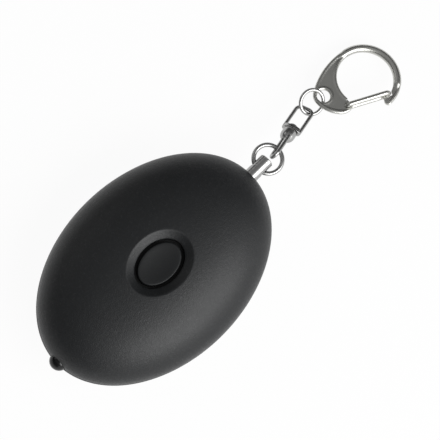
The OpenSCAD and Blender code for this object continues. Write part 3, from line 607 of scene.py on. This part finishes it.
def wellRings():
    # From the dome down the sloping ring, round its edges, into the button's opening and under the pad
    a, b, r = well["halfLength"], well["halfWidth"], well["edgeRound"]
    slope = atan(well["slopeDrop"] / well["slopeWidth"])
    rings = [(a + d, b + d, well["low"] + well["slopeDrop"]) for d in well["crownRings"]]
    lead = radians(well["edgeLead"])
    reach = r * tan((slope + lead) / 2)
    corner = well["slopeWidth"]
    centreOut = corner - reach * cos(slope) + r * sin(slope)
    centreUp = well["low"] + well["slopeDrop"] - reach * sin(slope) - r * cos(slope)
    for i in range(well["edgeSteps"] + 1):
        t = -lead + (slope + lead) * i / well["edgeSteps"]
        rings.append((a + centreOut - r * sin(t), b + centreOut - r * sin(t), centreUp + r * cos(t)))
    for d in well["slopeRings"]:
        rings.append((a + d, b + d, well["low"] + well["slopeDrop"] * d / well["slopeWidth"]))
    rings += [(a + 0.06, b + 0.06, well["low"] + 0.01), (a + 0.01, b + 0.01, well["low"] - 0.05),
              (a, b, well["low"] - 0.16), (a, b, well["low"] - 0.9), (a, b, well["under"] + 0.1),
              (a + 0.1, b + 0.1, well["under"])]
    return rings


def makeFrontHousing():
    h = housing
    inset = h["frontInset"]
    first = (h["halfLength"] - inset - 0.1, h["halfWidth"] - inset - 0.1, h["seam"])
    piece = startOval("housingFront", *first, h["sides"])
    edge = domeRings(h["frontHeight"], h["frontSquare"], 1, 0.1, h["steps"], h["crownShare"], inset)
    rings = edge + wellRings()
    pad = well["padGrow"]
    a, b, w = well["halfLength"], well["halfWidth"], h["wall"]
    rings += [(a + pad - 0.3, b + pad - 0.3, well["under"]), (a + pad, b + pad, well["under"] + 0.3),
              (a + pad, b + pad, well["under"] + 1.2)]
    inner = []
    for ring in reversed(edge[2:]):
        z = h["seam"] + (ring[2] - h["seam"]) * (1 - w / h["frontHeight"])
        inner.append((ring[0] - w, ring[1] - w, z))
    rings += inner
    aIn, bIn = h["halfLength"] - w, h["halfWidth"] - w
    rings += [(aIn, bIn, h["seam"] + h["lipDepth"]),
              (aIn + h["lipWidth"], bIn + h["lipWidth"], h["seam"] + h["lipDepth"]),
              (aIn + h["lipWidth"], bIn + h["lipWidth"], h["seam"])]
    growOvals(first, rings)
    layOnCrown(piece, 1 + len(edge), len(well["crownRings"]), well["edgeSteps"] + 1 + len(well["slopeRings"]))
    selectRims()
    bpy.ops.mesh.bridge_edge_loops()
    closeMesh()
    boreEnds(piece)
    smoothPiece(piece)
    dress(piece, "shell_plastic", "housing", "front_shell")


def addSlotCutter(x, half, width):
    # One rounded slot through the floor
    deselectAll()
    bpy.ops.mesh.primitive_cylinder_add(vertices=32, radius=width / 2 * mm, depth=soundSlots["depth"] * mm,
                                        location=(x * mm, 0, housing["wall"] / 2 * mm))
    cutter = bpy.context.active_object
    bpy.ops.object.transform_apply(location=True, rotation=True, scale=True)
    bpy.ops.object.mode_set(mode="EDIT")
    mesh = bmesh.from_edit_mesh(cutter.data)
    for vert in mesh.verts:
        if abs(vert.co.y) < 1e-9:
            continue
        vert.co.y += (half - width / 2) * mm * (1 if vert.co.y > 0 else -1)
    bmesh.update_edit_mesh(cutter.data)
    bpy.ops.object.mode_set(mode="OBJECT")
    return cutter


def makeRearHousing():
    h = housing
    first = (h["halfLength"] - h["seamBreak"], h["halfWidth"] - h["seamBreak"], h["seam"])
    piece = startOval("housingRear", *first, h["sides"])
    s = h["rearSquare"]
    flat = (1 - (h["seam"] / h["rearHeight"]) ** s) ** (1 / s)
    outer = domeRings(h["rearHeight"], s, -1, h["seamBreak"], h["steps"], flat)
    rings = list(outer)
    for share in (0.97, 0.8, 0.55, 0.3):
        rings.append((outer[-1][0] * share, outer[-1][1] * share, 0.0))
    growOvals(first, rings)
    bpy.ops.mesh.extrude_region()
    bpy.ops.mesh.merge(type="CENTER")
    selectRims()
    w = h["wall"]
    aIn, bIn = h["halfLength"] - w, h["halfWidth"] - w
    inside = [(aIn + 0.8, bIn + 0.8, h["seam"]), (aIn + 0.8, bIn + 0.8, h["seam"] + 1.2),
              (aIn + 0.15, bIn + 0.15, h["seam"] + 1.2), (aIn + 0.15, bIn + 0.15, h["seam"])]
    for ring in outer[2:]:
        z = h["seam"] + (ring[2] - h["seam"]) * (1 - w / h["rearHeight"])
        inside.append((ring[0] - w, ring[1] - w, max(z, w)))
    floorRing = inside[-1]
    for share in (0.8, 0.5, 0.3):
        inside.append((floorRing[0] * share, floorRing[1] * share, w))
    growOvals(first, inside)
    bpy.ops.mesh.extrude_region()
    bpy.ops.mesh.merge(type="CENTER")
    closeMesh()
    boreEnds(piece)
    for sx in (-1, 1):
        for sy in (-1, 1):
            place = (sx * screwHoles["x"], sy * screwHoles["y"])
            post = addRod(screwHoles["postRadius"], screwHoles["postFrom"], h["seam"], place)
            cutWith(piece, post, "UNION")
            cutWith(piece, addRod(screwHoles["headRadius"], -1, screwHoles["headDepth"], place))
            cutWith(piece, addRod(screwHoles["radius"], 0, h["seam"] + 1, place, sides=48))
    for i in range(soundSlots["count"]):
        x = (i - (soundSlots["count"] - 1) / 2) * soundSlots["pitch"]
        half = soundSlots["halfWidth"] * (1 - (x / soundSlots["halfLength"]) ** 2) ** 0.5
        cutWith(piece, addSlotCutter(x, half, soundSlots["width"]))
    smoothPiece(piece)
    dress(piece, "shell_plastic", "housing", "rear_shell")


def smoothCadNode(name, slotName, angle=32.0):
    # Loose triangles are welded for the look only; the mesh itself stays as packed
    piece = nodes[name]
    piece.data.materials.clear()
    piece.data.materials.append(finishes[slotName])
    bpy.ops.object.select_all(action="DESELECT")
    piece.select_set(True)
    bpy.context.view_layer.objects.active = piece
    if piece.data.has_custom_normals:
        bpy.ops.mesh.customdata_custom_splitnormals_clear()
    bpy.ops.object.shade_smooth()
    weld = piece.modifiers.new("weld", "WELD")
    weld.merge_threshold = 0.0005 * mm
    split = piece.modifiers.new("edges", "EDGE_SPLIT")
    split.split_angle = radians(angle)


# Jump rings: centre and sizes in mm, lie in degrees about X, Y and Z, split where the wire's ends meet
jumpRings = {
    "pinRing": {"node": "pin_ring", "body": "first_ring", "centre": (38.058, 0, 9.772), "lie": (0, 4, 0),
                "radius": 3.5, "wire": 1.1, "splitAt": 118, "split": 0.07},
    "hookRing": {"node": "hook_ring", "body": "second_ring", "centre": (56.434, 2.53, 5.533),
                 "lie": (26.3, -8.7, 15), "radius": 3.05, "wire": 0.9, "splitAt": 215, "split": 0.07},
}

# Pressed and cast pieces whose joins are blended: voxel size in mm and rounds of smoothing
blended = {
    "hook_body": {"body": "hook", "voxel": 0.11, "rounds": 9},
    "hook_gate": {"body": "gate", "voxel": 0.07, "rounds": 6},
    "swivel_eye": {"body": "eye", "voxel": 0.07, "rounds": 6},
    "swivel_yoke": {"body": "yoke", "voxel": 0.07, "rounds": 5},
}


def makeJumpRing(name, spec):
    deselectAll()
    bpy.ops.mesh.primitive_circle_add(vertices=24, radius=spec["wire"] / 2 * mm,
                                      location=(spec["radius"] * mm, 0, 0), rotation=(pi / 2, 0, 0))
    piece = bpy.context.active_object
    piece.name = name
    bpy.ops.object.transform_apply(location=True, rotation=True, scale=True)
    bpy.ops.object.mode_set(mode="EDIT")
    bpy.ops.mesh.select_all(action="SELECT")
    turn = 2 * pi - spec["split"] / spec["radius"]
    bpy.ops.mesh.spin(steps=120, angle=turn, center=(0, 0, 0), axis=(0, 0, 1))
    bpy.ops.mesh.select_all(action="SELECT")
    bpy.ops.mesh.fill_holes(sides=0)
    bpy.ops.mesh.select_all(action="SELECT")
    bpy.ops.mesh.normals_make_consistent(inside=False)
    bpy.ops.object.mode_set(mode="OBJECT")
    piece.rotation_euler = (0, 0, radians(spec["splitAt"]))
    bpy.ops.object.transform_apply(location=False, rotation=True, scale=False)
    piece.rotation_euler = [radians(t) for t in spec["lie"]]
    piece.location = [c * mm for c in spec["centre"]]
    bpy.ops.object.transform_apply(location=True, rotation=True, scale=True)
    smoothPiece(piece, 50.0)
    dress(piece, slotOf[spec["node"]], spec["body"], spec["node"])


def makeBlended(nodeName, spec):
    # A merged copy of the node, remeshed as one skin and eased, with the node left as packed
    piece = bpy.data.objects.new(nodeName + "Cast", nodes[nodeName].data.copy())
    bpy.context.scene.collection.objects.link(piece)
    deselectAll()
    piece.select_set(True)
    bpy.context.view_layer.objects.active = piece
    if piece.data.has_custom_normals:
        bpy.ops.mesh.customdata_custom_splitnormals_clear()
    bpy.ops.object.mode_set(mode="EDIT")
    bpy.ops.mesh.select_all(action="SELECT")
    bpy.ops.mesh.remove_doubles(threshold=0.0005 * mm)
    bpy.ops.object.mode_set(mode="OBJECT")
    skin = piece.modifiers.new("skin", "REMESH")
    skin.mode = "VOXEL"
    skin.voxel_size = spec["voxel"] * mm
    skin.use_smooth_shade = True
    bpy.ops.object.modifier_apply(modifier=skin.name)
    ease = piece.modifiers.new("ease", "SMOOTH")
    ease.factor = 0.5
    ease.iterations = spec["rounds"]
    bpy.ops.object.modifier_apply(modifier=ease.name)
    smoothPiece(piece, 60.0)
    dress(piece, slotOf[nodeName], spec["body"], nodeName)
    print("stage: blended", nodeName, len(piece.data.polygons), "faces")


slotOf = {piece["node"]: piece["material_slot"] for piece in frame["record"]["subparts"]}
for nodeName, slotName in slotOf.items():
    smoothCadNode(nodeName, slotName)
print("stage: CAD pieces finished")

for ringName, ringSpec in jumpRings.items():
    makeJumpRing(ringName, ringSpec)
for nodeName, castSpec in blended.items():
    makeBlended(nodeName, castSpec)
print("stage: rings, swivel and hook")

makeFrontHousing()
makeRearHousing()
print("stage: housing")
